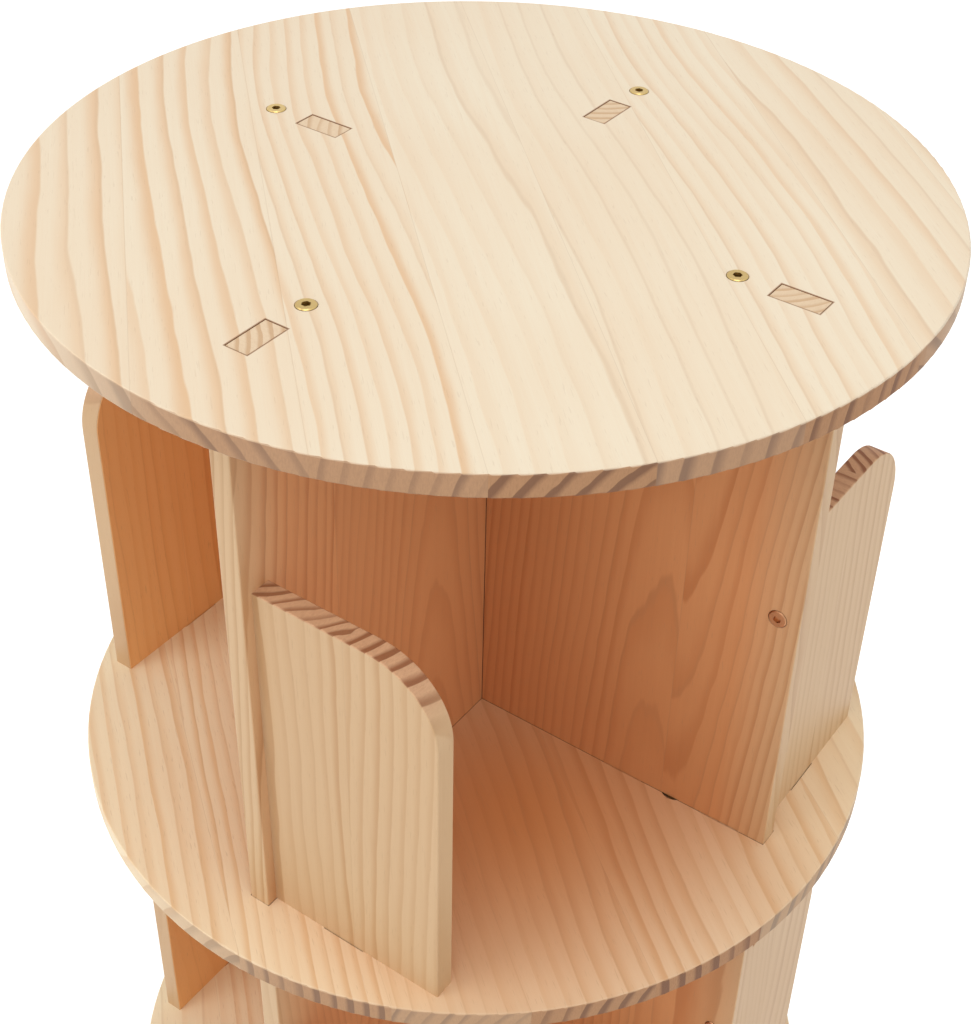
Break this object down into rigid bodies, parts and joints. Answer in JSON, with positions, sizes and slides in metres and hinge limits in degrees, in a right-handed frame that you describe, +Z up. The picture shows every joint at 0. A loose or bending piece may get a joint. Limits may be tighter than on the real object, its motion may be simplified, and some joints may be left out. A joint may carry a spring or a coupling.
{
  "type": "revolving bookcase",
  "caption": "Round revolving bookcase in pine: crossing boards and arched book stops between round discs, on a ball-bearing turntable and a footed base.",
  "frame": {"origin": "on the floor, under the axis that the case turns about", "axes": "+Z up along the turning axis; +X and +Y along the two crossing boards"},
  "size_m": [0.4599, 0.46, 1.0596],
  "materials": {
    "pine_disc": "clear satin lacquer on edge-glued pine",
    "pine_board": "clear satin lacquer on edge-glued pine",
    "pine_panel": "clear satin lacquer on edge-glued pine",
    "pine_base": "clear satin lacquer on edge-glued pine",
    "bolt_zinc": "yellow zinc plate",
    "screw_steel": "bright zinc plate",
    "ring_aluminium": "brushed",
    "ball_steel": "polished",
    "cage_nylon": "natural nylon",
    "foot_rubber": "matt"
  },
  "bodies": {
    "base": {"base_disc": "pine_base", "base_feet": "foot_rubber", "foot_screws": "screw_steel", "turntable_lower_ring": "ring_aluminium", "lower_ring_screws": "screw_steel", "turntable_balls": "ball_steel", "turntable_ball_cage": "cage_nylon"},
    "case": {"bottom_disc": "pine_disc", "bottom_disc_bolts": "bolt_zinc", "lower_shelf_disc": "pine_disc", "lower_shelf_disc_bolts": "bolt_zinc", "lower_tier_arched_panel_back": "pine_panel", "lower_tier_arched_panel_front": "pine_panel", "lower_tier_arched_panel_left": "pine_panel", "lower_tier_arched_panel_right": "pine_panel", "lower_tier_board_slot_down": "pine_board", "lower_tier_board_slot_up": "pine_board", "lower_tier_face_bolts": "bolt_zinc", "middle_tier_arched_panel_back": "pine_panel", "middle_tier_arched_panel_front": "pine_panel", "middle_tier_arched_panel_left": "pine_panel", "middle_tier_arched_panel_right": "pine_panel", "middle_tier_board_slot_down": "pine_board", "middle_tier_board_slot_up": "pine_board", "middle_tier_face_bolts": "bolt_zinc", "top_disc": "pine_disc", "top_disc_bolts": "bolt_zinc", "turntable_upper_ring": "ring_aluminium", "upper_ring_screws": "screw_steel", "upper_shelf_disc": "pine_disc", "upper_shelf_disc_bolts": "bolt_zinc", "upper_tier_arched_panel_back": "pine_panel", "upper_tier_arched_panel_front": "pine_panel", "upper_tier_arched_panel_left": "pine_panel", "upper_tier_arched_panel_right": "pine_panel", "upper_tier_board_slot_down": "pine_board", "upper_tier_board_slot_up": "pine_board", "upper_tier_face_bolts": "bolt_zinc"}
  },
  "joints": [
    {"name": "case_turn", "type": "hinge", "parent": "base", "child": "case", "pos_m": [0, 0, 0.0285], "axis": [0, 0, 1], "continuous": true}
  ]
}
